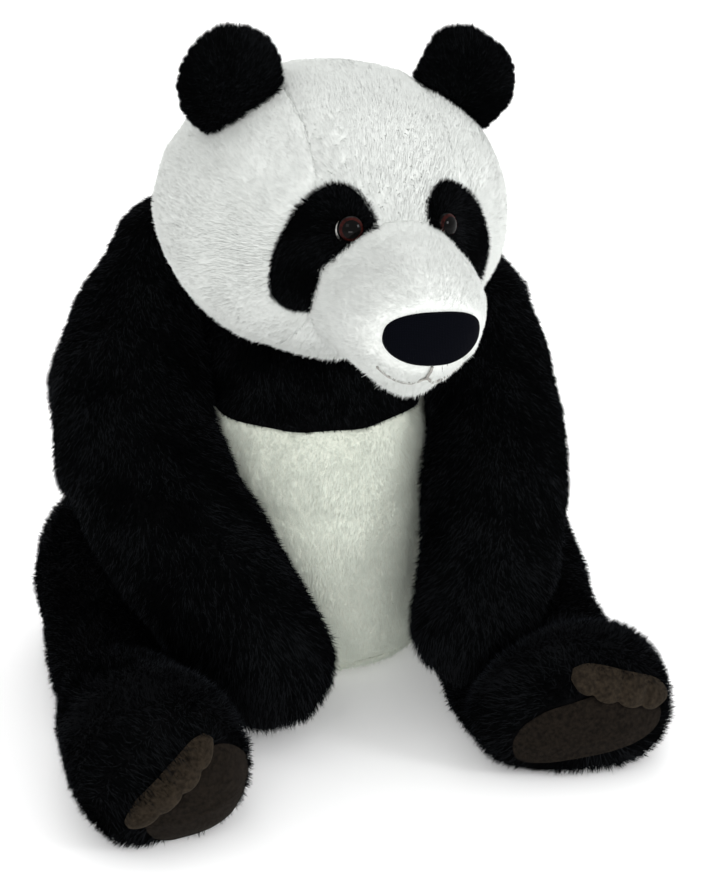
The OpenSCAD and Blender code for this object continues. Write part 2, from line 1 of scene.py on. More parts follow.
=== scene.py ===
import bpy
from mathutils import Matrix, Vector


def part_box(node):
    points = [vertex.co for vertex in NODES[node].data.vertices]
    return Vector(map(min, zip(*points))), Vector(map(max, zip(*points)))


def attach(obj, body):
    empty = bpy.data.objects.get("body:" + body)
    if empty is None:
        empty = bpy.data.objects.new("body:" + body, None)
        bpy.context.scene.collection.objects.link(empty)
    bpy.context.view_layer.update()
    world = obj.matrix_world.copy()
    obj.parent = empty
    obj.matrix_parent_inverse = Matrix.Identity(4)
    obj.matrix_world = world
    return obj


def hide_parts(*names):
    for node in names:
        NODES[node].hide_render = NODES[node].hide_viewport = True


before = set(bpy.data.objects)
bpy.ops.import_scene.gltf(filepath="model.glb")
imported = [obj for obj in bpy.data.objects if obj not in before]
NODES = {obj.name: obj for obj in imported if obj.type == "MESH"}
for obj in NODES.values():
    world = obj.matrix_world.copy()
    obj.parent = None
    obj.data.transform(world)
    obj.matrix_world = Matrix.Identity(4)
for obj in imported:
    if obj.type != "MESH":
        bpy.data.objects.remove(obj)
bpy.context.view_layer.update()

import math

import bmesh
import bpy
import numpy as np
from mathutils import Matrix, Vector
from mathutils.bvhtree import BVHTree
from mathutils.kdtree import KDTree

SCENE = bpy.context.scene
MM = 0.001
SIDES = ("right", "left")
DOWN = np.array([0.0, 0.0, -1.0])


# ---------- camera, light and floor ----------

def set_camera():
    turn, tilt, away = math.radians(-11.0), math.radians(23.0), 1.9
    aim = Vector((0.0341, 0.0772, 0.1210))
    back = Vector((math.sin(turn) * math.cos(tilt), -math.cos(turn) * math.cos(tilt), math.sin(tilt)))
    data = bpy.data.cameras.new("camera")
    data.lens = 124.5
    data.sensor_width = 36.0
    camera = bpy.data.objects.new("camera", data)
    camera.location = aim + back * away
    camera.rotation_euler = back.to_track_quat("Z", "Y").to_euler()
    SCENE.collection.objects.link(camera)
    SCENE.camera = camera


def area_light(name, place, aim, size, watts, tint=(1.0, 1.0, 1.0)):
    data = bpy.data.lights.new(name, "AREA")
    data.shape = "RECTANGLE"
    data.size, data.size_y = size
    data.energy = watts
    data.color = tint
    lamp = bpy.data.objects.new(name, data)
    lamp.location = place
    lamp.rotation_euler = (Vector(place) - Vector(aim)).to_track_quat("Z", "Y").to_euler()
    SCENE.collection.objects.link(lamp)


def set_light():
    world = bpy.data.worlds.new("studio")
    world.use_nodes = True
    sky = world.node_tree.nodes["Background"]
    sky.inputs["Color"].default_value = (1.0, 1.0, 1.0, 1.0)
    sky.inputs["Strength"].default_value = 0.98
    SCENE.world = world
    middle = (0.0, 0.0, 0.2)
    area_light("key_light", (-0.7, -1.7, 1.5), middle, (0.7, 0.7), 3.5)
    area_light("fill_light", (1.6, -1.4, 1.1), middle, (0.5, 0.5), 11.0, (0.98, 0.99, 1.0))
    area_light("front_light", (-0.1, -2.0, 0.14), (0.0, 0.0, 0.1), (0.8, 0.25), 5.0)
    area_light("top_light", (0.1, 0.5, 2.2), middle, (1.4, 1.0), 5.0)
    area_light("back_light", (0.6, 2.2, 1.2), middle, (1.0, 1.0), 8.0)
    SCENE.view_settings.view_transform = "Standard"
    SCENE.view_settings.look = "None"


def new_object(name, mesh):
    obj = bpy.data.objects.new(name, mesh)
    SCENE.collection.objects.link(obj)
    return obj


def built(name, verts, faces, outward=False):
    """A mesh from points and faces, with all its faces turned the same way if asked."""
    mesh = bpy.data.meshes.new(name)
    mesh.from_pydata(verts, [], faces)
    if outward:
        work = bmesh.new()
        work.from_mesh(mesh)
        bmesh.ops.recalc_face_normals(work, faces=work.faces)
        work.to_mesh(mesh)
        work.free()
    mesh.update()
    return mesh


def strips(rows, steps):
    """Faces between closed rings of points that follow one another."""
    faces = []
    for row in range(rows - 1):
        for k in range(steps):
            a, b = row * steps + k, row * steps + (k + 1) % steps
            faces.append((a, b, b + steps, a + steps))
    return faces


def smooth_shaded(mesh):
    mesh.polygons.foreach_set("use_smooth", [True] * len(mesh.polygons))


def set_floor():
    half, count = 12.0, 48
    ring = [(half * math.cos(2 * math.pi * i / count), half * math.sin(2 * math.pi * i / count), 0.0)
            for i in range(count)]
    mesh = built("floor", ring, [list(range(count))])
    floor = new_object("floor", mesh)
    white = plain("floor_white", (0.97, 0.97, 0.97), 0.9, specular=0.1)
    # A faint glow, as of a lit sweep, keeps the shadow light
    shader = white.node_tree.nodes["Principled BSDF"]
    shader.inputs["Emission Color"].default_value = (1.0, 1.0, 1.0, 1.0)
    shader.inputs["Emission Strength"].default_value = 0.2
    mesh.materials.append(white)


# ---------- materials ----------

def plain(name, colour, roughness, sheen=0.0, tint=(1.0, 1.0, 1.0), coat=0.0, specular=0.5):
    """A material whose shader holds constants only."""
    material = bpy.data.materials.new(name)
    material.use_nodes = True
    shader = material.node_tree.nodes["Principled BSDF"]
    shader.inputs["Base Color"].default_value = (*colour, 1.0)
    shader.inputs["Roughness"].default_value = roughness
    shader.inputs["Sheen Weight"].default_value = sheen
    shader.inputs["Sheen Roughness"].default_value = 0.4
    shader.inputs["Sheen Tint"].default_value = (*tint, 1.0)
    shader.inputs["Coat Weight"].default_value = coat
    shader.inputs["Specular IOR Level"].default_value = specular
    return material


def ramp(tree, factor, stops):
    node = tree.nodes.new("ShaderNodeValToRGB")
    while len(node.color_ramp.elements) < len(stops):
        node.color_ramp.elements.new(0.5)
    for element, (place, colour) in zip(node.color_ramp.elements, stops):
        element.position = place
        element.color = (*colour, 1.0)
    tree.links.new(factor, node.inputs["Fac"])
    return node.outputs["Color"]


def noise(tree, scale, detail=3.0, roughness=0.55):
    place = tree.nodes.new("ShaderNodeTexCoord").outputs["Object"]
    node = tree.nodes.new("ShaderNodeTexNoise")
    node.inputs["Scale"].default_value = scale
    node.inputs["Detail"].default_value = detail
    node.inputs["Roughness"].default_value = roughness
    tree.links.new(place, node.inputs["Vector"])
    return node.outputs["Fac"]


def bump(tree, height, strength, distance, under=None):
    node = tree.nodes.new("ShaderNodeBump")
    node.inputs["Strength"].default_value = strength
    node.inputs["Distance"].default_value = distance
    tree.links.new(height, node.inputs["Height"])
    if under:
        tree.links.new(under, node.inputs["Normal"])
    return node.outputs["Normal"]


def mottled(name, dark, light, roughness, scale, grain, depth, **extra):
    """Cloth whose colour drifts between two tones, with a fine nap in its surface."""
    material = plain(name, light, roughness, **extra)
    tree = material.node_tree
    shader = tree.nodes["Principled BSDF"]
    colour = ramp(tree, noise(tree, scale), [(0.35, dark), (0.68, light)])
    tree.links.new(colour, shader.inputs["Base Color"])
    normal = bump(tree, noise(tree, grain, 4.0, 0.7), 0.9, depth)
    normal = bump(tree, noise(tree, grain / 9.0, 2.0), 0.5, depth * 2.0, normal)
    tree.links.new(normal, shader.inputs["Normal"])
    return material


BANDS_AT_SCALE_ONE = 0.314         # pitch in metres of a wave texture whose scale is 1


def weave(name, dark, light, pitch, depth, roughness, **extra):
    """Plain-woven cloth: threads cross at the pitch, in metres."""
    material = plain(name, light, roughness, **extra)
    tree = material.node_tree
    shader = tree.nodes["Principled BSDF"]
    place = tree.nodes.new("ShaderNodeTexCoord").outputs["Object"]
    waves = []
    for direction in ("X", "Z"):
        wave = tree.nodes.new("ShaderNodeTexWave")
        wave.bands_direction = direction
        wave.inputs["Scale"].default_value = BANDS_AT_SCALE_ONE / pitch
        wave.inputs["Distortion"].default_value = 0.6
        wave.inputs["Detail Scale"].default_value = 3.0
        tree.links.new(place, wave.inputs["Vector"])
        waves.append(wave.outputs["Fac"])
    both = tree.nodes.new("ShaderNodeMath")
    both.operation = "MULTIPLY"
    tree.links.new(waves[0], both.inputs[0])
    tree.links.new(waves[1], both.inputs[1])
    tree.links.new(ramp(tree, both.outputs[0], [(0.0, dark), (0.8, light)]), shader.inputs["Base Color"])
    tree.links.new(bump(tree, both.outputs[0], 0.8, depth), shader.inputs["Normal"])
    return material


BLACK_SKIN = mottled("black_backing", (0.0012, 0.0012, 0.0015), (0.003, 0.003, 0.0035), 0.95, 60.0, 900.0,
                     0.0005, specular=0.05)
WHITE_SKIN = mottled("white_backing", (0.78, 0.80, 0.77), (0.81, 0.83, 0.80), 0.95, 40.0, 900.0, 0.00006,
                     specular=0.1)
CREAM_SKIN = mottled("cream_backing", (0.70, 0.73, 0.63), (0.79, 0.82, 0.72), 0.95, 35.0, 1100.0, 0.0004,
                     specular=0.1)
SOLE_SUEDE = mottled("sole_suede", (0.004, 0.003, 0.0022), (0.012, 0.009, 0.0065), 0.95, 420.0, 1900.0,
                     0.0005, sheen=0.02, tint=(0.9, 0.75, 0.6), specular=0.06)
TOE_SUEDE = mottled("toe_suede", (0.010, 0.0073, 0.0048), (0.027, 0.020, 0.013), 0.95, 420.0, 1900.0, 0.0005,
                    sheen=0.05, tint=(0.95, 0.8, 0.6), specular=0.08)
NOSE_CLOTH = weave("nose_weave", (0.0006, 0.0008, 0.0018), (0.0022, 0.0028, 0.0058), 0.0009, 0.00020, 0.85,
                   specular=0.03)
THREAD = mottled("mouth_thread", (0.26, 0.25, 0.23), (0.40, 0.39, 0.36), 0.9, 300.0, 2500.0, 0.0002)
PUPIL = mottled("eye_black", (0.0008, 0.0007, 0.0007), (0.0015, 0.0012, 0.0011), 0.05, 90.0, 400.0, 0.00001,
                specular=0.08)
IRIS = mottled("eye_iris_brown", (0.012, 0.0014, 0.0012), (0.036, 0.0052, 0.0036), 0.10, 700.0, 900.0,
               0.00005, specular=0.08)
EYE_WHITE = mottled("eye_rim_white", (0.50, 0.49, 0.47), (0.72, 0.71, 0.68), 0.35, 200.0, 900.0, 0.00005,
                    coat=0.3)

# Each pile's three materials, and the material slot it stands for. They are painted light: the tones run from
# painted shade, dark as the depth of the pile, to a painted highlight, pale as its tips, which on the black
# pile is a bluish painted sheen.
BLACK_PILE = [
    plain("black_pile_deep", (0.0009, 0.0010, 0.0012), 0.90, specular=0.015),
    plain("black_pile_mid", (0.0015, 0.0017, 0.0020), 0.85, 0.005, (0.55, 0.68, 0.9), specular=0.025),
    plain("black_pile_sheen", (0.0036, 0.0043, 0.0053), 0.75, 0.02, (0.6, 0.72, 0.95), specular=0.09),
]
WHITE_PILE = [
    plain("white_pile_shade", (0.765, 0.79, 0.76), 0.9, 0.04, specular=0.12),
    plain("white_pile_mid", (0.79, 0.815, 0.785), 0.9, 0.04, specular=0.12),
    plain("white_pile_bright", (0.81, 0.835, 0.805), 0.9, 0.04, specular=0.12),
]
CREAM_PILE = [
    plain("cream_pile_shade", (0.745, 0.795, 0.70), 0.9, 0.04, specular=0.12),
    plain("cream_pile_mid", (0.775, 0.825, 0.725), 0.9, 0.04, specular=0.12),
    plain("cream_pile_bright", (0.795, 0.84, 0.745), 0.9, 0.04, specular=0.12),
]


BLACK_FUR, WHITE_FUR, CREAM_FUR = ((BLACK_PILE, "black_plush"), (WHITE_PILE, "white_plush"),
                                   (CREAM_PILE, "cream_plush"))


# ---------- skins taken from the CAD solids ----------

def joined(names):
    """One mesh holding copies of these CAD nodes' meshes."""
    work = bmesh.new()
    for name in names:
        work.from_mesh(NODES[name].data)
    bmesh.ops.remove_doubles(work, verts=work.verts, dist=0.01 * MM)
    mesh = bpy.data.meshes.new("work")
    work.to_mesh(mesh)
    work.free()
    return mesh


def with_modifiers(obj, *modifiers):
    """A mesh of obj with these (type, settings) modifiers applied."""
    for kind, settings in modifiers:
        modifier = obj.modifiers.new(kind.lower(), kind)
        for key, value in settings.items():
            setattr(modifier, key, value)
    graph = bpy.context.evaluated_depsgraph_get()
    mesh = bpy.data.meshes.new_from_object(obj.evaluated_get(graph))
    obj.modifiers.clear()
    return mesh


def largest_part(mesh):
    """Keeps the part of the mesh with the largest box: its outer surface."""
    work = bmesh.new()
    work.from_mesh(mesh)
    work.verts.ensure_lookup_table()
    seen, best, best_size = set(), None, -1.0
    for vert in work.verts:
        if vert.index in seen:
            continue
        stack, part = [vert], []
        seen.add(vert.index)
        while stack:
            v = stack.pop()
            part.append(v)
            for edge in v.link_edges:
                other = edge.other_vert(v)
                if other.index not in seen:
                    seen.add(other.index)
                    stack.append(other)
        co = np.array([v.co for v in part])
        size = float(np.linalg.norm(co.max(0) - co.min(0)))
        if size > best_size:
            best, best_size = set(v.index for v in part), size
    bmesh.ops.delete(work, geom=[v for v in work.verts if v.index not in best], context="VERTS")
    work.to_mesh(mesh)
    work.free()


def coords(mesh):
    co = np.empty(len(mesh.vertices) * 3, np.float32)
    mesh.vertices.foreach_get("co", co)
    return co.reshape(-1, 3).astype(np.float64)


def set_coords(mesh, co):
    mesh.vertices.foreach_set("co", co.astype(np.float32).ravel())
    mesh.update()


def normals(mesh):
    no = np.empty(len(mesh.vertices) * 3, np.float32)
    mesh.vertices.foreach_get("normal", no)
    return no.reshape(-1, 3).astype(np.float64)


def edges(mesh):
    e = np.empty(len(mesh.edges) * 2, np.int32)
    mesh.edges.foreach_get("vertices", e)
    return e.reshape(-1, 2)


def neighbour_mean(co, e):
    """Mean place of the points that each point shares an edge with."""
    count = np.maximum(np.bincount(e.ravel(), minlength=len(co)), 1)[:, None]
    total = np.zeros_like(co)
    np.add.at(total, e[:, 0], co[e[:, 1]])
    np.add.at(total, e[:, 1], co[e[:, 0]])
    return total / count


def smoothed(mesh, rounds):
    """Laplacian smoothing that swells back each second pass, so the form keeps its volume."""
    co, e = coords(mesh), edges(mesh)
    for k in range(rounds):
        co += (0.5 if k % 2 == 0 else -0.48) * (neighbour_mean(co, e) - co)
    set_coords(mesh, co)


def skin_solid(name, nodes, voxel, rounds=12):
    """Closed outer surface of these CAD nodes."""
    obj = new_object(name, joined(nodes))
    mesh = with_modifiers(obj, ("REMESH", {"mode": "VOXEL", "voxel_size": voxel}))
    obj.data = mesh
    largest_part(mesh)
    smoothed(mesh, rounds)
    return obj


def nearest_labels(points, groups):
    """For each point, the index of the CAD node that it lies nearest to."""
    trees = [tree_of(NODES[name]) for name in groups]
    return np.array([[tree.find_nearest(p)[3] for tree in trees] for p in points]).argmin(1)


PUFF_FRAMES = 20


def puff(obj, pinned, cap):
    """Cloth blown up by its stuffing, held where pinned, and no further out than the cap."""
    before = coords(obj.data)
    obj.vertex_groups.new(name="held").add(np.flatnonzero(pinned).tolist(), 1.0, "REPLACE")
    cloth = obj.modifiers.new("cloth", "CLOTH")
    settings = cloth.settings
    settings.quality = 4
    settings.mass = 0.3
    settings.tension_stiffness = 12.0
    settings.compression_stiffness = 12.0
    settings.shear_stiffness = 6.0
    settings.bending_stiffness = 0.6
    settings.use_pressure = True
    settings.uniform_pressure_force = 4.0
    settings.vertex_group_mass = "held"
    settings.effector_weights.gravity = 0.0
    cloth.collision_settings.use_collision = False
    cloth.collision_settings.use_self_collision = False
    cloth.point_cache.frame_start = 1
    cloth.point_cache.frame_end = PUFF_FRAMES
    for f in range(1, PUFF_FRAMES + 1):
        SCENE.frame_set(f)
    graph = bpy.context.evaluated_depsgraph_get()
    after = coords(obj.evaluated_get(graph).data)
    obj.modifiers.clear()
    obj.vertex_groups.clear()
    SCENE.frame_set(1)
    move = after - before
    size = np.linalg.norm(move, axis=1, keepdims=True)
    move *= np.minimum(1.0, cap / np.maximum(size, 1e-9))
    set_coords(obj.data, before + move)


SEAM_STEPS = 2                     # how many mesh edges to each side a seam draws in
FAR = 99                           # more edges away than any seam reaches


def seam_groove(mesh, labels, depth):
    """Draws the surface in along the borders between labels."""
    e = edges(mesh)
    steps = np.full(len(labels), FAR)
    border = labels[e[:, 0]] != labels[e[:, 1]]
    steps[np.unique(e[border])] = 0
    for k in range(1, SEAM_STEPS + 1):
        near = np.minimum(steps[e[:, 0]], steps[e[:, 1]])
        for side in (0, 1):
            ids = e[:, side]
            grow = (steps[ids] > k) & (near == k - 1)
            steps[ids[grow]] = k
    co, no = coords(mesh), normals(mesh)
    pull = depth * np.exp(-(steps / (SEAM_STEPS * 0.45)) ** 2)
    set_coords(mesh, co - no * pull[:, None])


def straightened(co, loops, face_label, rounds=14):
    """Smooths the lines between panels along their own length."""
    sides_of = {}
    for f, loop in enumerate(loops):
        for k, v in enumerate(loop):
            w = loop[(k + 1) % len(loop)]
            sides_of.setdefault((min(v, w), max(v, w)), []).append(face_label[f])
    line = np.array([e for e, found in sides_of.items() if len(set(found)) > 1])
    on_line = np.unique(line)
    for _ in range(rounds):
        co[on_line] += 0.5 * (neighbour_mean(co, line)[on_line] - co[on_line])
    return co


def point_tree(points):
    tree = KDTree(len(points))
    for i, p in enumerate(points):
        tree.insert(p, i)
    tree.balance()
    return tree


def seam_points(parts):
    """Tree of the points that two or more panels share: the seams."""
    places = {}
    for k, obj in enumerate(parts.values()):
        for p in coords(obj.data).round(5).tolist():
            places.setdefault(tuple(p), set()).add(k)
    shared = [p for p, owners in places.items() if len(owners) > 1]
    return point_tree(shared)


def seam_gap(tree, points):
    """Distance of each point from the nearest seam point."""
    return np.array([tree.find(p)[2] for p in points])


def split_by_label(obj, labels, names):
    """One cloth panel for each label, from a labelled skin."""
    loops = [list(p.vertices) for p in obj.data.polygons]
    # A face belongs to the label most of its corners have
    face_label = np.array([np.bincount(labels[f], minlength=len(names)).argmax() for f in loops])
    co = straightened(coords(obj.data), loops, face_label)
    made = {}
    for k, name in enumerate(names):
        faces = [loops[i] for i in np.flatnonzero(face_label == k)]
        used = sorted(set(v for f in faces for v in f))
        index = {v: i for i, v in enumerate(used)}
        made[name] = new_object(name, built(name, [tuple(co[v]) for v in used],
                                            [[index[v] for v in f] for f in faces]))
    return made


def finish_skin(obj, material, body, nodes, subdivide=1, thickness=0.0):
    """Subdivides a skin, gives it its cloth and fixes it to its body."""
    steps = []
    if subdivide:
        steps.append(("SUBSURF", {"levels": subdivide, "render_levels": subdivide}))
    if thickness:
        steps.append(("SOLIDIFY", {"thickness": thickness, "offset": -1.0}))
    mesh = with_modifiers(obj, *steps) if steps else obj.data
    smooth_shaded(mesh)
    mesh.materials.clear()
    mesh.materials.append(material)
    obj.data = mesh
    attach(obj, body)
    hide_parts(*nodes)
    return obj


# ---------- pile ----------

def unit(vectors, least=1e-12):
    """The vectors at length 1, but shorter where they are shorter than least."""
    return vectors / np.maximum(np.linalg.norm(vectors, axis=-1, keepdims=True), least)


def triangles(mesh):
    mesh.calc_loop_triangles()
    t = np.empty(len(mesh.loop_triangles) * 3, np.int32)
    mesh.loop_triangles.foreach_get("vertices", t)
    return t.reshape(-1, 3)


def open_faces(co, tri, tree, reach):
    """Which triangles can be seen from outside: some ray off them leaves without a hit."""
    centre = co[tri].mean(1)
    normal = unit(np.cross(co[tri[:, 1]] - co[tri[:, 0]], co[tri[:, 2]] - co[tri[:, 0]]))
    spread = [Vector(v).normalized() for v in
              ((0, 0, 1), (.7, 0, .7), (-.7, 0, .7), (0, .7, .7), (0, -.7, .7))]
    free = np.zeros(len(tri), bool)
    for i in range(len(tri)):
        n = Vector(normal[i])
        turn = n.to_track_quat("Z", "Y")
        start = Vector(centre[i]) + n * 0.0012
        for s in spread:
            if tree.ray_cast(start, turn @ s, reach)[0] is None:
                free[i] = True
                break
    return free


def drift(points, scale, seed):
    """Smooth noise, about -1 to 1, from waves in fixed random directions."""
    rng = np.random.default_rng(seed)
    total = np.zeros(len(points))
    for k in range(7):
        way = rng.normal(size=3)
        way *= scale * (0.6 + 0.25 * k) / np.linalg.norm(way)
        total += np.sin(points @ way + rng.uniform(0, 2 * math.pi))
    return total / 3.0


TONE_SHARES = (0.35, 0.45, 0.20)   # how much of a pile has each of its three materials
ROOT_DEPTH = 0.8 * MM              # how far under the skin a fibre starts
VIEW_REACH = 0.08                  # a spot is hidden if it looks onto cloth closer than this, in metres
CELL_KEYS = (73856093, 19349663, 83492791)   # large primes that give each cell of space its own number


def pile(name, skin, count, length, body, look, comb, seed, blockers, lay, width=0.45 * MM, clump=5.0 * MM,
         draw=0.35, keep=None, flat=0.6, longer=None, tones=None, stray=0.22):
    """Short fibres that stand on a skin, where the blockers don't hide it. comb gives each root's lie, lay
    how far it leans that way and stray how unevenly. clump and draw say how the tips gather into tufts, flat
    how much a fibre is lit like the skin. keep picks the faces, longer scales the length, tones the shade."""
    materials, slot = look
    co, no, tri = coords(skin.data), normals(skin.data), triangles(skin.data)
    tri = tri[open_faces(co, tri, blockers, VIEW_REACH)]
    if keep is not None:
        tri = tri[keep(co[tri].mean(1))]
    rng = np.random.default_rng(seed)
    area = np.linalg.norm(np.cross(co[tri[:, 1]] - co[tri[:, 0]], co[tri[:, 2]] - co[tri[:, 0]]), axis=1)
    pick = rng.choice(len(tri), size=count, p=area / area.sum())
    a, b = rng.random(count), rng.random(count)
    over = a + b > 1
    a[over], b[over] = 1 - a[over], 1 - b[over]
    corner = tri[pick]
    w = np.stack([1 - a - b, a, b], 1)[:, :, None]
    root = (co[corner] * w).sum(1)
    normal = unit((no[corner] * w).sum(1))
    lie = comb(root)
    lie = unit(lie - normal * (lie * normal).sum(1, keepdims=True), 0.25)
    swirl = np.stack([drift(root, 90.0, seed + s) for s in (11, 12, 13)], 1) * 0.16
    way = unit(normal * (1 - lay) + lie * lay + rng.normal(size=(count, 3)) * stray + swirl)
    size = length * (0.75 + 0.5 * rng.random(count)) * (1 + 0.16 * drift(root, 160.0, seed + 5))
    if longer is not None:
        size *= longer(root)
    tip = root + way * size[:, None]
    # Tips draw together in cells of about the clump size
    warp = root + np.stack([drift(root, 500.0, seed + s) for s in (21, 22, 23)], 1) * clump * 0.35
    cell = np.floor(warp / clump).astype(np.int64)
    key = cell[:, 0] * CELL_KEYS[0] ^ cell[:, 1] * CELL_KEYS[1] ^ cell[:, 2] * CELL_KEYS[2]
    _, group = np.unique(key, return_inverse=True)
    group = group.ravel()
    total = np.bincount(group)
    middle = np.stack([np.bincount(group, tip[:, k]) / total for k in range(3)], 1)
    tip += (middle[group] - tip) * draw * rng.random(count)[:, None] ** 0.5
    tip[:, 2] = np.maximum(tip[:, 2], 0.4 * MM)
    # Each fibre is a slim three-sided spike, rooted a little under the skin
    way = unit(tip - root)
    side = unit(np.cross(way, rng.normal(size=(count, 3))))
    other = np.cross(way, side)
    foot = root - way * ROOT_DEPTH
    half = width * (0.75 + 0.5 * rng.random(count))[:, None]
    ring = [foot + half * (side * math.cos(t) + other * math.sin(t))
            for t in (0.0, 2 * math.pi / 3, 4 * math.pi / 3)]
    points = np.stack(ring + [tip], 1).reshape(-1, 3)
    points[:, 2] = np.maximum(points[:, 2], 0.2 * MM)
    base = np.arange(count)[:, None] * 4
    faces = np.concatenate([base + np.array([[0, 1, 3]]), base + np.array([[1, 2, 3]]),
                            base + np.array([[2, 0, 3]])], 1).reshape(-1)
    out = unit(np.stack([p - foot for p in ring], 1))
    shade = np.concatenate([out, np.zeros((count, 1, 3))], 1)
    shade = unit(shade * (1 - flat) + normal[:, None, :] * (flat + 0.05))
    mesh = bpy.data.meshes.new(name)
    mesh.vertices.add(len(points))
    mesh.vertices.foreach_set("co", points.astype(np.float32).ravel())
    mesh.loops.add(len(faces))
    mesh.loops.foreach_set("vertex_index", faces.astype(np.int32))
    n_faces = count * 3
    mesh.polygons.add(n_faces)
    mesh.polygons.foreach_set("loop_start", np.arange(0, n_faces * 3, 3, dtype=np.int32))
    if tones is None:
        patchy = rng.random(count) + 0.18 * drift(root, 120.0, seed + 7)
    else:
        patchy = tones(root, rng.random(count))
    tone = np.searchsorted(np.cumsum(TONE_SHARES)[:-1], patchy)
    mesh.polygons.foreach_set("material_index", np.repeat(tone, 3).astype(np.int32))
    mesh.polygons.foreach_set("use_smooth", np.ones(n_faces, bool))
    mesh.update(calc_edges=True)
    mesh.normals_split_custom_set_from_vertices(shade.reshape(-1, 3).astype(np.float32))
    for material in materials:
        mesh.materials.append(material)
    obj = new_object(name, mesh)
    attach(obj, body)
    return obj


def straight(*way):
    """A comb that lies one way all over."""
    way = unit(np.array(way, float))
    return lambda root: np.repeat(way[None, :], len(root), 0)


def away_from(place, down=0.0):
    """A comb that runs away from a place, and droops."""
    def lie(root):
        return unit(root - np.array(place), 1e-6) + DOWN * down
    return lie


def uncovered(tree, reach):
    """A test of which points of a skin do not lie under, or right at the edge of, the pads in the tree."""
    def keep(centre):
        return np.array([tree.find_nearest(p, reach)[0] is None for p in centre])
    return keep


def tree_of(*objects):
    """Tree of the faces of these objects, for finding and hitting them."""
    points, faces = [], []
    for obj in objects:
        base = len(points)
        points += [v.co.copy() for v in obj.data.vertices]
        faces += [tuple(base + v for v in p.vertices) for p in obj.data.polygons]
    return BVHTree.FromPolygons(points, faces)


def middle(name):
    low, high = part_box(name)
    return np.array((low + high) / 2)


# ---------- the panda ----------

# The head's own frame, as the CAD turns it: x to the panda's left, y backwards, z up
HEAD_FRAME = (Matrix.Translation(Vector((0.003, 0.0015, 0.302))) @ Matrix.Rotation(math.radians(12), 4, "Z")
              @ Matrix.Rotation(math.radians(6), 4, "Y"))
MUZZLE_UP = -23.0                 # muzzle's axis below the head's centre, in mm
HEAD_HALF = (102.0, 94.0, 83.0)   # half-width, half-depth and half-height of the head, in mm
# Eye patch: its middle, half-width and half-length in mm, and its slant
PATCH_MIDDLE, PATCH_HALF, PATCH_SLANT = (40.0, 1.0), (22.5, 38.5), math.radians(20.0)
# Line of the lips in the head's frame, as sideways and height in mm
MOUTH_LINE = [(-26, -47), (-20, -52), (-13, -55.5), (-6, -56), (0, -52), (6, -56), (13, -55.5), (20, -52),
              (26, -47)]


def in_head(points):
    """Points in the head's own frame."""
    turned = np.array(HEAD_FRAME.to_3x3())
    return (points - np.array(HEAD_FRAME.translation)) @ turned


TRUNK = ["chest_yoke", "belly_panel", "back_panel", "seat_panel"]
HEAD = ["crown_gusset", "head_side_right", "head_side_left", "throat_panel", "muzzle_cover"]
COVERS = {
    "torso": TRUNK,
    "head": HEAD,
    "arm_right": ["arm_cover_right"],
    "arm_left": ["arm_cover_left"],
    "leg_right": ["leg_cover_right"],
    "leg_left": ["leg_cover_left"],
}


TRUNK_VOXEL, HEAD_VOXEL, LIMB_VOXEL, SMALL_VOXEL = 5 * MM, 4 * MM, 5 * MM, 2.5 * MM
PANEL_THICKNESS = 2.5 * MM


def near_others(co, body, reach):
    """Which points lie closer than reach to another body's covers."""
    close = np.zeros(len(co), bool)
    for other, names in COVERS.items():
        if other == body:
            continue
        tree = tree_of(*[NODES[n] for n in names])
        for i, p in enumerate(co):
            if not close[i] and tree.find_nearest(p, reach)[3] is not None:
                close[i] = True
    return close


def stuffed(obj, body, labels, cap, pads=()):
    """Blows a body's skin up between its seams, where it is clear of other bodies, the pads and the floor."""
    co = coords(obj.data)
    pinned = near_others(co, body, 7 * MM) | (co[:, 2] < 3 * MM)
    if pads:
        pinned |= ~uncovered(tree_of(*[NODES[n] for n in pads]), 6 * MM)(co)
    if labels is not None:
        e = edges(obj.data)
        pinned[np.unique(e[labels[e[:, 0]] != labels[e[:, 1]]])] = True
    puff(obj, pinned, cap)
    co = coords(obj.data)
    co[:, 2] = np.maximum(co[:, 2], 0.0)
    set_coords(obj.data, co)
    smoothed(obj.data, 4)


def build_trunk():
    skin = skin_solid("trunk_work", TRUNK + ["torso_stuffing", "pellet_bag"], TRUNK_VOXEL)
    labels = nearest_labels(coords(skin.data), TRUNK)
    stuffed(skin, "torso", labels, 2.5 * MM)
    co = coords(skin.data)
    no = normals(skin.data)
    # A soft fold runs across the belly
    fold = np.exp(-((co[:, 2] - 0.112 - 0.010 * np.abs(co[:, 0] / 0.066) ** 2) / 0.006) ** 2)
    fold *= (no[:, 1] < -0.2) * 1.6 * MM
    set_coords(skin.data, co - no * fold[:, None])
    seam_groove(skin.data, labels, 1.6 * MM)
    parts = split_by_label(skin, labels, ["chest_yoke_plush", "belly_plush", "back_plush", "seat_plush"])
    seams = seam_points(parts)
    bpy.data.objects.remove(skin)
    cloth = {"chest_yoke": BLACK_SKIN, "belly_panel": CREAM_SKIN, "back_panel": WHITE_SKIN,
             "seat_panel": CREAM_SKIN}
    for node, obj in zip(TRUNK, parts.values()):
        finish_skin(obj, cloth[node], "torso", [node], 1, PANEL_THICKNESS)
    return dict(zip(TRUNK, parts.values())), seams


def soften_muzzle_root(mesh):
    """Fills the corner where the muzzle leaves the face, most of all at its top."""
    co = coords(mesh)
    local = in_head(co)
    ahead = -local[:, 1] / MM
    round_axis = np.hypot(local[:, 0], local[:, 2] - MUZZLE_UP * MM) / MM
    share = np.exp(-((ahead - 92.0) / 13.0) ** 2) * np.exp(-((round_axis - 42.0) / 14.0) ** 2)
    share *= np.clip(0.45 + (local[:, 2] / MM + 20.0) / 50.0, 0.25, 1.0)
    e = edges(mesh)
    for _ in range(140):
        co += 0.5 * share[:, None] * (neighbour_mean(co, e) - co)
    set_coords(mesh, co)


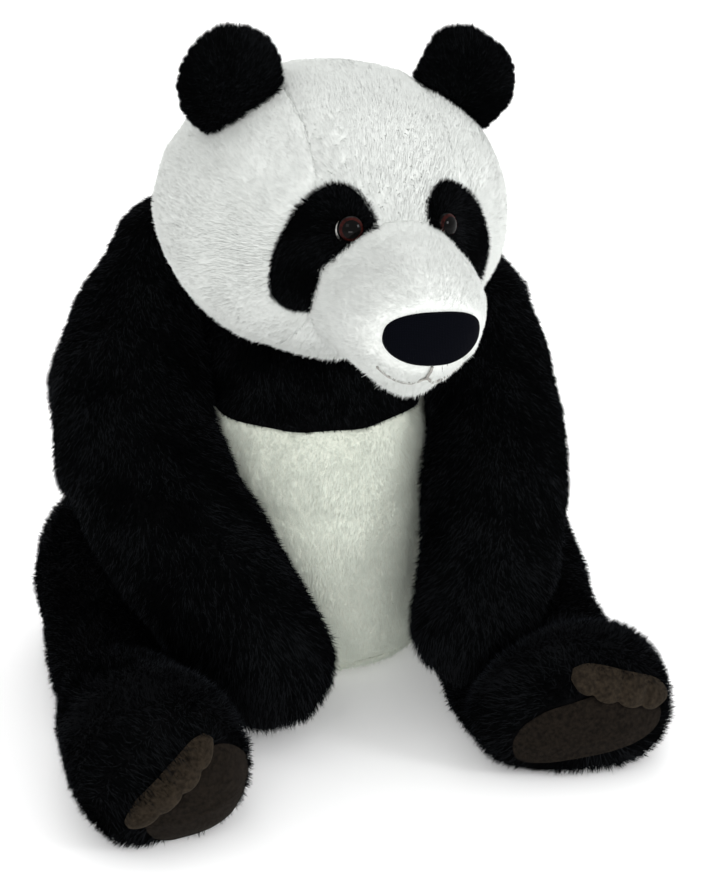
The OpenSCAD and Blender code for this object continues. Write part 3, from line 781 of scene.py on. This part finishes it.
def raise_chin(mesh):
    """Fills out the chin below the mouth, and presses in the line of the lips."""
    co, no = coords(mesh), normals(mesh)
    local = in_head(co) / MM
    off = local - np.array([0.0, -122.0, -64.0])
    lump = 5.0 * np.exp(-(off ** 2).sum(1) / 15.0 ** 2)
    lips = np.array([np.hypot(local[:, 0] - x, local[:, 2] - z) for x, z in MOUTH_LINE]).min(0)
    lump -= 1.8 * np.exp(-(lips / 4.0) ** 2) * (local[:, 1] < -118)
    set_coords(mesh, co + no * lump[:, None] * MM)


def build_head():
    skin = skin_solid("head_work", HEAD + ["head_stuffing", "neck_disc_head"], HEAD_VOXEL)
    labels = nearest_labels(coords(skin.data), HEAD)
    stuffed(skin, "head", labels, 2.5 * MM)
    soften_muzzle_root(skin.data)
    raise_chin(skin.data)
    # The muzzle's own seam is hidden in the pile, so only the others draw in
    merged = np.where(labels == HEAD.index("muzzle_cover"), HEAD.index("crown_gusset"), labels)
    seam_groove(skin.data, merged, 1.0 * MM)
    names = ["crown_plush", "head_side_plush_right", "head_side_plush_left", "throat_plush", "muzzle_plush"]
    parts = split_by_label(skin, labels, names)
    seams = seam_points({k: v for k, v in parts.items() if k != "muzzle_plush"})
    bpy.data.objects.remove(skin)
    for node, obj in zip(HEAD, parts.values()):
        finish_skin(obj, WHITE_SKIN, "head", [node], 1, PANEL_THICKNESS)
    return dict(zip(HEAD, parts.values())), seams


def build_limb(kind, side):
    body = kind + "_" + side
    disc = ("shoulder_disc_arm_" if kind == "arm" else "hip_disc_leg_") + side
    skin = skin_solid(kind + "_plush_" + side, [kind + "_cover_" + side, kind + "_stuffing_" + side, disc],
                      LIMB_VOXEL)
    pads = ["sole_pad_" + side, "toe_pads_" + side] if kind == "leg" else []
    stuffed(skin, body, None, 2.0 * MM, pads)
    return finish_skin(skin, BLACK_SKIN, body, [kind + "_cover_" + side], 1)


def build_small(name, node, material, body):
    """An ear or the tail."""
    skin = skin_solid(name, [node], SMALL_VOXEL, 8)
    return finish_skin(skin, material, body, [node], 1)


def build_pad(name, node, material, body):
    """A thin pad of suede sewn on the foot, with a slightly uneven surface."""
    skin = new_object(name, joined([node]))
    mesh = with_modifiers(skin, ("SUBSURF", {"levels": 3, "render_levels": 3}))
    skin.data = mesh
    co, no = coords(mesh), normals(mesh)
    set_coords(mesh, co + no * (0.25 * MM * drift(co, 260.0, 9))[:, None])
    return finish_skin(skin, material, body, [node], 0)


def off_patches(centre):
    """Which points of the head lie outside both eye patches."""
    local = in_head(centre) / MM
    x, z = np.abs(local[:, 0]) - PATCH_MIDDLE[0], local[:, 2] - PATCH_MIDDLE[1]
    out = x * math.cos(PATCH_SLANT) + z * math.sin(PATCH_SLANT)
    up = z * math.cos(PATCH_SLANT) - x * math.sin(PATCH_SLANT)
    return ((out / PATCH_HALF[0]) ** 2 + (up / PATCH_HALF[1]) ** 2 > 0.93) | (local[:, 1] > -30)


def build_patch(side, head):
    """An eye patch laid over the head's skin, inside the outline of the CAD's patch."""
    hand = -1.0 if side == "right" else 1.0
    tree = tree_of(*[obj for node, obj in head.items() if node != "muzzle_cover"])
    steps, shares = 56, (0.06, 0.2, 0.35, 0.5, 0.65, 0.78, 0.88, 0.95, 1.0)
    half = np.array(HEAD_HALF)
    verts = []
    for share in shares:
        for k in range(steps):
            a = 2 * math.pi * k / steps
            up, out = PATCH_HALF[1] * math.cos(a) * share, PATCH_HALF[0] * math.sin(a) * share
            x = PATCH_MIDDLE[0] + out * math.cos(PATCH_SLANT) - up * math.sin(PATCH_SLANT)
            z = PATCH_MIDDLE[1] + up * math.cos(PATCH_SLANT) + out * math.sin(PATCH_SLANT)
            y = -half[1] * math.sqrt(max(0.0, 1 - (x / half[0]) ** 2 - (z / half[2]) ** 2))
            p = np.array([x * hand, y, z])
            n = p / half ** 2
            n /= np.linalg.norm(n)
            way = HEAD_FRAME.to_3x3() @ Vector(n)
            start = HEAD_FRAME @ Vector((p + n * 20) * MM)
            hit = tree.ray_cast(start, -way, 0.034)[0]
            lift = 1.1 if share < 1 else -0.6
            verts.append(HEAD_FRAME @ Vector((p + n * lift) * MM) if hit is None else hit + way * lift * MM)
    mesh = built("eye_patch_plush_" + side, verts, strips(len(shares), steps) + [tuple(range(steps))], True)
    ahead = HEAD_FRAME.to_3x3() @ Vector((0, -1, 0))
    if sum(p.normal.dot(ahead) for p in mesh.polygons) < 0:
        mesh.flip_normals()
    return finish_skin(new_object("eye_patch_plush_" + side, mesh), BLACK_SKIN, "head", ["eye_patch_" + side],
                       0, 1.5 * MM)


def revolved(rings, turn, offset, steps=40):
    """Rings of (radius, height) round the local Z axis, closed to a point at each end."""
    verts = []
    for r, h in rings:
        for i in range(steps):
            a = 2 * math.pi * i / steps
            verts.append(offset + turn @ Vector((r * math.cos(a), r * math.sin(a), h)))
    faces = strips(len(rings), steps)
    verts += [offset + turn @ Vector((0, 0, rings[0][1])), offset + turn @ Vector((0, 0, rings[-1][1]))]
    n = len(verts)
    last = (len(rings) - 1) * steps
    for i in range(steps):
        faces.append((n - 2, (i + 1) % steps, i))
        faces.append((n - 1, last + i, last + (i + 1) % steps))
    return verts, faces


def build_eye(side):
    lens, washer = middle("eye_lens_" + side), middle("eye_washer_" + side)
    look = Vector(lens - washer).normalized()
    turn = look.to_track_quat("Z", "Y").to_matrix()
    seat = Vector(lens) - look * 3.4 * MM
    r = 7.7 * MM
    rings = [(r * 0.98, 0.0), (r, 0.8 * MM)]
    rings += [(r * math.cos(math.radians(t)), 0.8 * MM + 5.2 * MM * math.sin(math.radians(t)))
              for t in (10, 20, 30, 40, 48, 56, 64, 72, 80, 86)]
    mesh = built("eye_dome_" + side, *revolved(rings, turn, seat))
    mesh.materials.append(PUPIL)
    mesh.materials.append(IRIS)
    for p in mesh.polygons:
        away = Vector(p.center) - seat
        flat = (away - look * away.dot(look)).length / r
        p.material_index = 1 if 0.64 < flat < 0.90 and away.dot(look) > 0.5 * MM else 0
        p.use_smooth = True
    dome = new_object("eye_dome_" + side, mesh)
    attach(dome, "head")
    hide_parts("eye_lens_" + side, "eye_iris_" + side)
    # A white rim shows as a crescent at the eye's lower outer edge
    out = Vector((-0.6 if side == "right" else 0.6, 0.0, -0.8))
    out = (out - look * out.dot(look)).normalized()
    rim_rings = [(r * 0.9, -0.4 * MM), (r, 0.2 * MM), (r * 0.97, 1.0 * MM), (r * 0.8, 1.5 * MM)]
    mesh = built("eye_rim_" + side, *revolved(rim_rings, turn, seat + out * 1.2 * MM))
    smooth_shaded(mesh)
    mesh.materials.append(EYE_WHITE)
    rim = new_object("eye_rim_" + side, mesh)
    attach(rim, "head")


def thread(name, points, radius):
    """A sewn line of thread on the head through these points, as a round cord."""
    pts = [Vector(p) for p in points]
    fine = []
    for k in range(len(pts) - 1):
        p0, p1 = pts[max(k - 1, 0)], pts[k]
        p2, p3 = pts[k + 1], pts[min(k + 2, len(pts) - 1)]
        for j in range(6):
            t = j / 6
            fine.append(0.5 * (2 * p1 + (p2 - p0) * t + (2 * p0 - 5 * p1 + 4 * p2 - p3) * t * t
                               + (3 * p1 - p0 - 3 * p2 + p3) * t ** 3))
    fine.append(pts[-1])
    verts, around = [], 8
    for k, p in enumerate(fine):
        way = (fine[min(k + 1, len(fine) - 1)] - fine[max(k - 1, 0)]).normalized()
        side = way.cross(Vector((0, 1, 0))).normalized()
        up = way.cross(side)
        # The twist of the thread shows as a slow swell along it
        size = radius * (1 + 0.15 * math.sin(k * 1.9)) * (0.5 if k in (0, len(fine) - 1) else 1)
        for i in range(around):
            a = 2 * math.pi * i / around
            verts.append(p + (side * math.cos(a) + up * math.sin(a)) * size)
    ends = [tuple(range(around)), tuple(reversed(range(len(verts) - around, len(verts))))]
    mesh = built(name, verts, strips(len(fine), around) + ends)
    smooth_shaded(mesh)
    mesh.materials.append(THREAD)
    obj = new_object(name, mesh)
    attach(obj, "head")
    return obj


def on_muzzle(tree, x, z, lift):
    """Point of the muzzle's front at sideways x and height z in the head's frame, in mm."""
    start = HEAD_FRAME @ Vector((x * MM, -0.25, z * MM))
    way = (HEAD_FRAME.to_3x3() @ Vector((0, 1, 0))).normalized()
    hit = tree.ray_cast(start, way, 0.4)
    if hit[0] is None:
        return HEAD_FRAME @ Vector((x * MM, -0.13, z * MM))
    return hit[0] - way * lift


NOSE_HALF = (28.5, 15.5)          # half-width and half-height of the nose, in mm
NOSE_UP = MUZZLE_UP - 4.0


def nose_edge(a):
    """Sideways and height of the nose's outline at angle a from its top, over its middle, in mm."""
    x, z = math.sin(a), math.cos(a)
    # The upper side is flatter than the lower
    z = z ** 0.75 if z > 0 else z
    x = abs(x) ** 0.85 * math.copysign(1, x)
    return NOSE_HALF[0] * x, NOSE_HALF[1] * z


def build_nose(muzzle):
    """A flat broad pad of woven cloth, with its edge turned under into the muzzle's pile."""
    tree = tree_of(muzzle)
    steps = 64
    profile = [(0.12, 4.4), (0.35, 4.3), (0.6, 4.0), (0.78, 3.7), (0.88, 3.4), (0.94, 2.9), (0.98, 2.1),
               (1.0, 1.2), (0.99, -1.0)]
    verts = []
    for share, lift in profile:
        for k in range(steps):
            x, z = nose_edge(2 * math.pi * k / steps)
            verts.append(on_muzzle(tree, x * share, NOSE_UP + z * share, lift * MM))
    last = (len(profile) - 1) * steps
    ends = [tuple(reversed(range(steps))), tuple(range(last, last + steps))]
    mesh = built("nose_cloth_pad", verts, strips(len(profile), steps) + ends, True)
    pad = new_object("nose_cloth_pad", mesh)
    return finish_skin(pad, NOSE_CLOTH, "head", ["nose_pad"], 0)


def build_mouth(muzzle):
    """The line of the lips and the short line up to the nose. Returns the places they run through."""
    tree = tree_of(muzzle)
    smile = [on_muzzle(tree, x, z, 1.6 * MM) for x, z in MOUTH_LINE]
    line = thread("mouth_thread", smile, 0.7 * MM)
    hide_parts("mouth_stitching")
    lip = [on_muzzle(tree, 0, z, 1.6 * MM) for z in (-43, -46, -49, -52)]
    thread("lip_thread", lip, 0.8 * MM)
    return smile + lip


def build_fur(trunk, head, limbs, ears, patches, tail, nose, soles, toes, trunk_seams, head_seams, mouth):
    everything = tree_of(*trunk.values(), *head.values(), *limbs.values(), *ears.values(), *patches.values(),
                         tail, nose, *[NODES[n] for n in NODES if n.startswith(("sole_pad", "toe_pads"))])
    nose_place = middle("nose_pad")
    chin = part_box("muzzle_cover")[0][2]
    mouth_tree = point_tree(mouth)

    def near_seam(root, tree, width, least):
        return least + (1 - least) * np.clip(seam_gap(tree, root) / width, 0, 1)

    def head_comb(root):
        # Up over the brow from the nose, drooping at the cheeks and down the back of the head
        low = np.clip((0.325 - root[:, 2:]) / 0.05, 0, 1)
        behind = np.clip(root[:, 1:2] / 0.08, 0, 1)
        return unit(root - nose_place) + DOWN * (0.35 * low + 0.5 * behind)

    def head_longer(root):
        low = np.clip((0.262 - root[:, 2]) / 0.035, 0, 1)
        return (1 + 0.7 * low) * near_seam(root, head_seams, 5 * MM, 0.5)

    for k, (node, count) in enumerate((("crown_gusset", 66000), ("head_side_right", 66000),
                                       ("head_side_left", 66000), ("throat_panel", 16000))):
        pile(head[node].name.replace("plush", "pile"), head[node], count, 3.7 * MM, "head", WHITE_FUR,
             head_comb, 100 + k, everything, lay=0.7, width=0.50 * MM, clump=2.5 * MM, draw=0.10, flat=0.97,
             longer=head_longer, keep=off_patches, stray=0.11)

    def off_nose(centre):
        local = in_head(centre) / MM
        x, z = local[:, 0] / NOSE_HALF[0], (local[:, 2] - NOSE_UP) / NOSE_HALF[1]
        return (x * x + z * z > 0.9) | (local[:, 1] > -120)

    def muzzle_longer(root):
        local = in_head(root) / MM
        x, z = local[:, 0] / NOSE_HALF[0], (local[:, 2] - NOSE_UP) / NOSE_HALF[1]
        by_nose = np.clip((np.sqrt(x * x + z * z) - 1.0) / 0.5, 0.3, 1)
        by_nose[local[:, 1] > -120] = 1
        beard = 0.7 + 0.9 * np.clip((chin + 0.020 - root[:, 2]) / 0.02, 0, 1)
        return beard * by_nose * near_seam(root, mouth_tree, 4 * MM, 0.35)

    pile("muzzle_pile", head["muzzle_cover"], 62000, 3.8 * MM, "head", WHITE_FUR, away_from(nose_place, 0.2),
         110, everything, lay=0.65, width=0.34 * MM, clump=2.5 * MM, draw=0.12, flat=0.95,
         longer=muzzle_longer, keep=off_nose, stray=0.16)
    for k, side in enumerate(SIDES):
        foot = middle("ear_" + side) - np.array([0, 0, 0.03])
        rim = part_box("ear_" + side)[1][2]

        def ear_longer(root, rim=rim):
            return 0.85 + 0.6 * np.clip((root[:, 2] - rim + 0.016) / 0.016, 0, 1)

        pile("ear_pile_" + side, ears[side], 32000, 6.0 * MM, "head", BLACK_FUR, away_from(foot), 120 + k,
             everything, lay=0.5, width=0.36 * MM, draw=0.65, longer=ear_longer)
        pile("eye_patch_pile_" + side, patches[side], 16000, 4.4 * MM, "head", BLACK_FUR,
             away_from(middle("eye_lens_" + side), 0.3), 130 + k, everything, lay=0.6, width=0.28 * MM,
             clump=3.0 * MM, draw=0.3)

    def trunk_longer(root):
        return near_seam(root, trunk_seams, 14 * MM, 0.35)

    hanging = straight(0, 0, -1)
    pile("chest_yoke_pile", trunk["chest_yoke"], 64000, 7.0 * MM, "torso", BLACK_FUR, hanging, 140,
         everything, lay=0.6, width=0.38 * MM, longer=trunk_longer)
    pile("belly_pile", trunk["belly_panel"], 66000, 3.8 * MM, "torso", CREAM_FUR, hanging, 141, everything,
         lay=0.65, width=0.34 * MM, clump=3.0 * MM, draw=0.2, flat=0.85, longer=trunk_longer, stray=0.14)
    pile("back_pile", trunk["back_panel"], 66000, 5.5 * MM, "torso", WHITE_FUR, hanging, 142, everything,
         lay=0.65, clump=3.0 * MM, draw=0.2, flat=0.93, longer=trunk_longer, stray=0.14)
    pile("seat_pile", trunk["seat_panel"], 16000, 3.6 * MM, "torso", CREAM_FUR, hanging, 143, everything,
         lay=0.6, width=0.34 * MM, flat=0.85, keep=lambda c: c[:, 2] > 1.5 * MM)
    pile("tail_pile", tail, 9000, 9.0 * MM, "torso", WHITE_FUR,
         away_from(middle("tail") + np.array([0, -0.02, 0.02])), 144, everything, lay=0.5, width=0.36 * MM,
         draw=0.5)
    for k, side in enumerate(SIDES):
        low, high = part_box("arm_cover_" + side)
        hand_z = low[2] + 0.055

        def paw_longer(root, hand_z=hand_z):
            return 1 + 0.7 * np.clip((hand_z - root[:, 2]) / 0.04, 0, 1)

        hand = np.array([low[0] + 0.03 if side == "left" else high[0] - 0.03, low[1] + 0.02, low[2] - 0.03])

        def arm_comb(root, hand=hand):
            return unit(hand - root) + DOWN * 0.4

        def arm_tones(root, chance, hand_z=hand_z):
            # Painted sheen: more fibres take the pale sheen tone towards the hand
            sheen_towards_hand = np.clip((hand_z + 0.02 - root[:, 2]) / 0.06, 0, 1)
            return chance + 0.15 * drift(root, 120.0, 30) + 0.25 * sheen_towards_hand

        pile("arm_pile_" + side, limbs["arm_" + side], 66000, 7.0 * MM, "arm_" + side, BLACK_FUR, arm_comb,
             150 + k, everything, lay=0.6, width=0.42 * MM, draw=0.5, longer=paw_longer, tones=arm_tones)

        sole = middle("sole_pad_" + side)
        foot_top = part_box("toe_pads_" + side)[1][2]
        pads = tree_of(soles[side], toes[side])
        toe_tree = tree_of(toes[side])
        toe_middle = middle("toe_pads_" + side)
        toe_up = unit((toe_middle - sole) * np.array([1.0, 0.0, 1.0]))

        def over_toes(root, toe_tree=toe_tree, toe_middle=toe_middle, toe_up=toe_up):
            # Share by which the pile above the toes lies down over them
            gap = np.array([toe_tree.find_nearest(p)[3] for p in root])
            return np.where((root - toe_middle) @ toe_up > 0.0, np.clip(1.3 - gap / 0.02, 0, 1), 0.0)

        def leg_longer(root, sole=sole, over_toes=over_toes):
            near = np.exp(-((root[:, 1] - sole[1]) / 0.05) ** 2)
            return 1 + 0.2 * near + 0.5 * over_toes(root) ** 4

        def leg_tones(root, chance, sole=sole, foot_top=foot_top):
            # Painted sheen: a paler rim of fibres runs over the top of the foot, where the fur catches the
            # light
            rim = np.exp(-((root[:, 1] - sole[1] - 0.035) / 0.03) ** 2)
            rim *= np.clip((root[:, 2] - foot_top + 0.05) / 0.05, 0, 1)
            return chance + 0.15 * drift(root, 120.0, 40) + 0.45 * rim

        def leg_comb(root, sole=sole, over_toes=over_toes, toe_middle=toe_middle):
            # Forward along the leg, then outwards round the sole, and down over the roots of the toes
            way = np.tile(np.array([0.0, -1.0, 0.10]), (len(root), 1))
            face = np.clip((toe_middle[1] + 0.034 - root[:, 1]) / 0.02, 0, 1)[:, None]
            out = root - sole
            out[:, 1] = 0.0
            out = unit(out, 1e-6) * face
            return way * (1 - 0.8 * face) + out * (1 - 2.4 * over_toes(root)[:, None])

        pile("leg_pile_" + side, limbs["leg_" + side], 66000, 7.0 * MM, "leg_" + side, BLACK_FUR, leg_comb,
             160 + k, everything, lay=0.5, width=0.42 * MM, draw=0.5, keep=uncovered(pads, 2.6 * MM),
             longer=leg_longer, tones=leg_tones)


def finish_hidden():
    """Materials for the CAD pieces inside the toy."""
    wood = mottled("hardboard", (0.30, 0.20, 0.11), (0.46, 0.33, 0.19), 0.7, 120.0, 900.0, 0.0002)
    steel = mottled("zinc_plate", (0.42, 0.43, 0.45), (0.58, 0.59, 0.61), 0.35, 300.0, 2000.0, 0.00005)
    steel.node_tree.nodes["Principled BSDF"].inputs["Metallic"].default_value = 1.0
    fibre = mottled("filling_fibre", (0.70, 0.69, 0.65), (0.86, 0.85, 0.81), 0.95, 60.0, 500.0, 0.0010)
    bag = weave("pouch_cloth", (0.42, 0.41, 0.38), (0.60, 0.59, 0.55), 0.0015, 0.0003, 0.9)
    shank = mottled("shank_plastic", (0.60, 0.60, 0.57), (0.72, 0.72, 0.69), 0.45, 200.0, 900.0, 0.00005)
    for name, obj in NODES.items():
        if "stuffing" in name:
            material = fibre
        elif name == "pellet_bag":
            material = bag
        elif "_disc_" in name:
            material = wood
        elif "bolt" in name or name.startswith(("neck_washers", "shoulder_washers", "hip_washers")):
            material = steel
        elif name.startswith("eye_washer"):
            material = shank
        else:
            continue
        obj.data.materials.clear()
        obj.data.materials.append(material)


set_camera()
set_light()
set_floor()
finish_hidden()
trunk, trunk_seams = build_trunk()
head, head_seams = build_head()
limbs = {kind + "_" + side: build_limb(kind, side) for kind in ("arm", "leg") for side in SIDES}
ears = {side: build_small("ear_plush_" + side, "ear_" + side, BLACK_SKIN, "head")
        for side in SIDES}
patches = {side: build_patch(side, head) for side in SIDES}
tail = build_small("tail_plush", "tail", WHITE_SKIN, "torso")
nose = build_nose(head["muzzle_cover"])
soles, toes = {}, {}
for side in SIDES:
    leg = "leg_" + side
    soles[side] = build_pad("sole_suede_" + side, "sole_pad_" + side, SOLE_SUEDE, leg)
    toes[side] = build_pad("toe_suede_" + side, "toe_pads_" + side, TOE_SUEDE, leg)
    build_eye(side)
mouth = build_mouth(head["muzzle_cover"])
build_fur(trunk, head, limbs, ears, patches, tail, nose, soles, toes, trunk_seams, head_seams, mouth)
